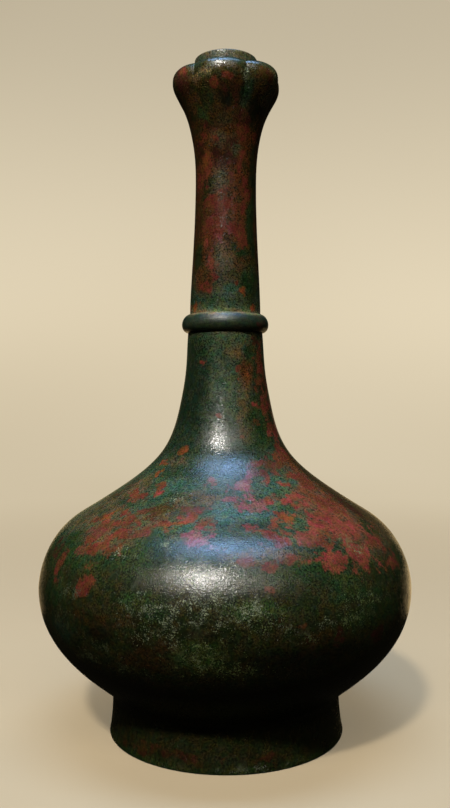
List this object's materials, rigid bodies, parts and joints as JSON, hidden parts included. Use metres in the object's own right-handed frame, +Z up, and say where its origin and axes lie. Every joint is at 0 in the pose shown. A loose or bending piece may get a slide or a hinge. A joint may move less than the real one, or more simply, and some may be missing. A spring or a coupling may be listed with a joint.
{
  "type": "bottle vase",
  "caption": "Hollow cast bronze bottle vase: ring foot, flattened round body, long slender neck with a raised ring, lobed garlic-shaped head and a short open mouth.",
  "frame": {"origin": "under the centre of the foot, on the surface that the vase stands on", "axes": "+Z up along the vase's axis, from the foot to the mouth; -Y towards the viewer of the picture"},
  "size_m": [0.2198, 0.2198, 0.4],
  "materials": {
    "patinated_bronze": "old cast bronze, semi-gloss, dark green to near black with brick-red and pale green patches of patina"
  },
  "bodies": {
    "root": {"bottle_vase": "patinated_bronze"}
  },
  "joints": []
}
